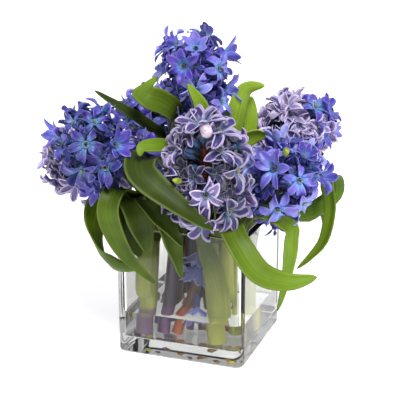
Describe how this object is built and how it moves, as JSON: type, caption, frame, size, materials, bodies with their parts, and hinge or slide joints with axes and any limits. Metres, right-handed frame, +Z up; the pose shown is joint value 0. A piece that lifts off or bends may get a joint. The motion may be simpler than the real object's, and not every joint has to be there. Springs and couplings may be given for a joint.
{
  "type": "hyacinths in glass vase",
  "caption": "Cut hyacinths in violet and lilac, with strap leaves, standing in clear water in a square glass vase.",
  "frame": {"origin": "centre of the vase's flat underside", "axes": "+Z up, the vase's front face looks along -Y and its right face along +X"},
  "size_m": [0.2453, 0.2577, 0.2533],
  "materials": {
    "glass": "clear, polished",
    "clear_resin": "clear, as still water",
    "pale_stem": "smooth, waxy pale green",
    "green_stem": "smooth, waxy green",
    "dark_stem": "smooth, purple brown",
    "red_stem": "smooth, red brown",
    "violet_florets": "soft, waxy violet blue",
    "lilac_florets": "soft, lilac with paler edges"
  },
  "bodies": {
    "root": {"glass_vase": "glass", "resin": "clear_resin", "stem_front": "pale_stem", "stem_left_front": "pale_stem", "stem_top": "dark_stem", "stem_right_front": "pale_stem", "stem_right_back": "red_stem", "stem_left_back": "dark_stem", "stem_back_left": "green_stem", "stem_back_right": "green_stem", "head_front": "lilac_florets", "head_left_front": "violet_florets", "head_top": "violet_florets", "head_right_front": "violet_florets", "head_right_back": "lilac_florets", "head_left_back": "lilac_florets", "head_back_left": "violet_florets", "head_back_right": "violet_florets"}
  },
  "joints": []
}
